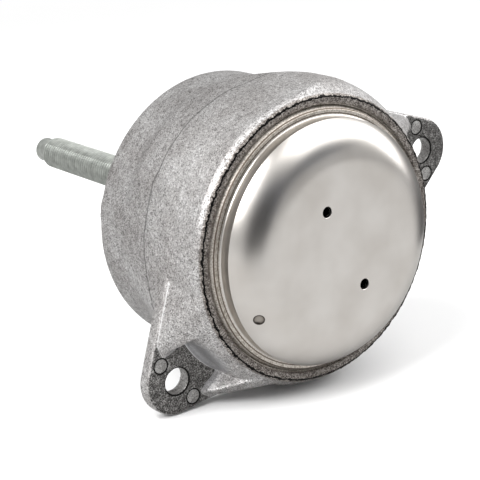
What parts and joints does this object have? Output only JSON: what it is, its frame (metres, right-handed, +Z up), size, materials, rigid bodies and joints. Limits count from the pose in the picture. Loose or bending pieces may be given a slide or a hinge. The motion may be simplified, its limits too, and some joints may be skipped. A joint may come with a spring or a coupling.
{
  "type": "hydraulic engine mount",
  "caption": "Round hydraulic engine mount: cast housing with ears, crimped steel cup, rubber spring inside and a long threaded stud.",
  "frame": {"origin": "middle of the core's seat face, where the stud leaves it", "axes": "+Y along the stud, away from the cup; +Z up as the part lies in the picture"},
  "size_m": [0.1264, 0.183, 0.0991],
  "materials": {
    "cast_aluminium": "as die cast, grainy and matte",
    "drawn_steel": "deep drawn, smooth satin",
    "pressed_steel": "pressed, phosphated matte",
    "plated_steel": "zinc plated, satin",
    "turned_aluminium": "turned, with fine tool lines",
    "spring_rubber": "moulded, matte",
    "diaphragm_rubber": "moulded, smooth"
  },
  "bodies": {
    "root": {"housing": "cast_aluminium", "base_cup": "drawn_steel", "bellows": "diaphragm_rubber", "bellows_ring": "pressed_steel", "lower_channel_plate": "cast_aluminium", "decoupler_disc": "diaphragm_rubber", "upper_channel_plate": "pressed_steel", "plate_seal": "diaphragm_rubber", "spring_ring": "pressed_steel", "main_spring": "spring_rubber", "core": "turned_aluminium", "stud": "plated_steel", "locating_pin": "plated_steel", "rebound_plate": "pressed_steel", "rebound_buffer": "spring_rubber", "channel_rivet_1": "plated_steel", "channel_rivet_2": "plated_steel", "channel_rivet_3": "plated_steel", "channel_rivet_4": "plated_steel"}
  },
  "joints": []
}
